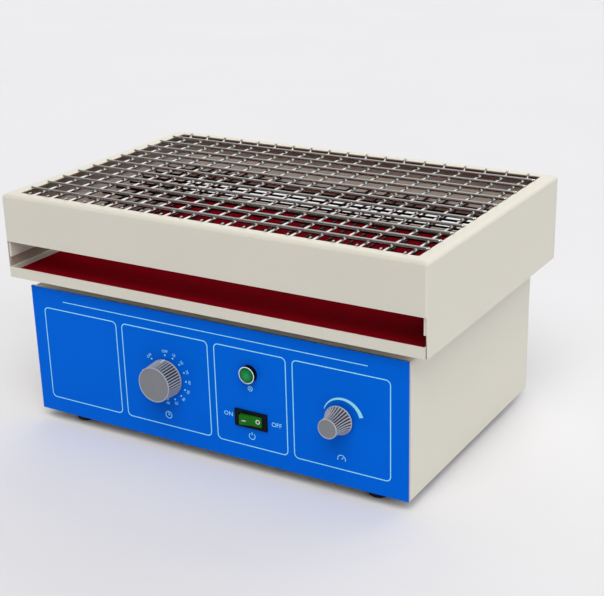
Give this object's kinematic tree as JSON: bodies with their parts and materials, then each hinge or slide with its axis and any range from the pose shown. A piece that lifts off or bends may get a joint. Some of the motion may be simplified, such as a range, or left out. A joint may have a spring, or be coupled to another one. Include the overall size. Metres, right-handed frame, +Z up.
{
  "type": "laboratory shaker",
  "caption": "Bench shaker: a gridded sheet-metal tray slides left and right on a low housing with a timer knob, speed knob, lamp and power rocker.",
  "frame": {"origin": "on the floor under the feet, halfway along each side of the outline", "axes": "+X to the right of someone facing the panel, +Y from the panel to the rear, +Z up"},
  "size_m": [0.405, 0.277, 0.2149],
  "materials": {
    "cream_paint": "satin powder coat",
    "blue_panel": "glossy printed film",
    "bright_steel": "bright drawn steel",
    "aluminium": "machined",
    "black_rubber": "matte",
    "grey_knob": "ribbed matte",
    "black_plastic": "satin",
    "green_lens": "clear green",
    "green_rocker": "glossy translucent",
    "chrome_ring": "bright",
    "red_mat": "fine matte",
    "board_green": "solder mask",
    "white_nylon": "plain",
    "blue_sleeve": "shrink sleeve",
    "core_iron": "lacquered laminations",
    "coil_tape": "wrapped tape",
    "timer_case": "moulded"
  },
  "bodies": {
    "base": {"base_plate": "cream_paint", "housing_shell": "cream_paint", "rear_panel": "cream_paint", "panel_overlay": "blue_panel", "rubber_feet": "black_rubber", "drive_belt": "black_rubber", "foot_screws": "bright_steel", "base_screws": "bright_steel", "deck_plate": "bright_steel", "deck_posts": "bright_steel", "deck_screws": "bright_steel", "guide_rods": "bright_steel", "motor_body": "bright_steel", "motor_screws": "bright_steel", "crank_bearings": "bright_steel", "control_nut": "bright_steel", "lamp_nut": "bright_steel", "front_panel": "aluminium", "rod_supports": "aluminium", "bearing_housing": "aluminium", "heat_sink": "aluminium", "timer_body": "timer_case", "speed_control": "black_plastic", "switch_frame": "black_plastic", "power_inlet": "black_plastic", "fuse_holder": "black_plastic", "lamp_bezel": "chrome_ring", "lamp_lens": "green_lens", "control_board": "board_green", "board_standoffs": "white_nylon", "filter_capacitor": "blue_sleeve", "transformer_core": "core_iron", "transformer_coil": "coil_tape"},
    "tray": {"bearing_blocks": "aluminium", "linear_bushes": "bright_steel", "carriage_plate": "aluminium", "block_screws": "bright_steel", "tray_columns": "bright_steel", "tray_bolts": "bright_steel", "tray_bottom": "cream_paint", "tray_frame": "cream_paint", "tray_mat": "red_mat", "grid_frame": "cream_paint", "upper_grid_bars": "bright_steel", "lower_grid_bars": "bright_steel"},
    "timer_dial": {"timer_knob": "grey_knob", "timer_shaft": "bright_steel"},
    "speed_dial": {"speed_knob": "grey_knob", "speed_shaft": "bright_steel"},
    "power_rocker": {"switch_rocker": "green_rocker"},
    "fuse_plug": {"fuse_cap": "black_plastic"},
    "motor_rotor": {"motor_shaft": "bright_steel", "motor_pulley": "aluminium"},
    "crank": {"crank_shaft": "bright_steel", "crank_pulley": "aluminium", "crank_disc": "bright_steel"},
    "link": {"connecting_rod": "aluminium", "link_bearings": "bright_steel", "wrist_pin": "bright_steel"}
  },
  "joints": [
    {"name": "tray_slide", "type": "slide", "parent": "base", "child": "tray", "axis": [1, 0, 0], "range_m": [-0.01, 0.01]},
    {"name": "timer_turn", "type": "hinge", "parent": "base", "child": "timer_dial", "pos_m": [-0.0422, -0.124, 0.0688], "axis": [0, 1, 0], "range_deg": [-45, 270]},
    {"name": "speed_turn", "type": "hinge", "parent": "base", "child": "speed_dial", "pos_m": [0.126, -0.124, 0.0688], "axis": [0, 1, 0], "range_deg": [0, 270]},
    {"name": "power_rock", "type": "hinge", "parent": "base", "child": "power_rocker", "pos_m": [0.0422, -0.1153, 0.0486], "axis": [0, 0, -1], "range_deg": [0, 16]},
    {"name": "fuse_twist", "type": "hinge", "parent": "base", "child": "fuse_plug", "pos_m": [-0.072, 0.126, 0.044], "axis": [0, 1, 0], "range_deg": [0, 90]},
    {"name": "crank_spin", "type": "hinge", "parent": "base", "child": "crank", "pos_m": [-0.062, 0.0055, 0.09], "axis": [0, 0, 1], "continuous": true},
    {"name": "motor_spin", "type": "hinge", "parent": "base", "child": "motor_rotor", "pos_m": [0.07, 0.0055, 0.09], "axis": [0, 0, 1], "continuous": true},
    {"name": "link_swing", "type": "hinge", "parent": "crank", "child": "link", "pos_m": [-0.062, 0.0155, 0.106], "axis": [0, 0, 1], "continuous": true}
  ],
  "couplings": [
    {"joint": "motor_spin", "follows": "crank_spin", "ratio": 2.845},
    {"joint": "link_swing", "follows": "crank_spin", "ratio": -1}
  ]
}
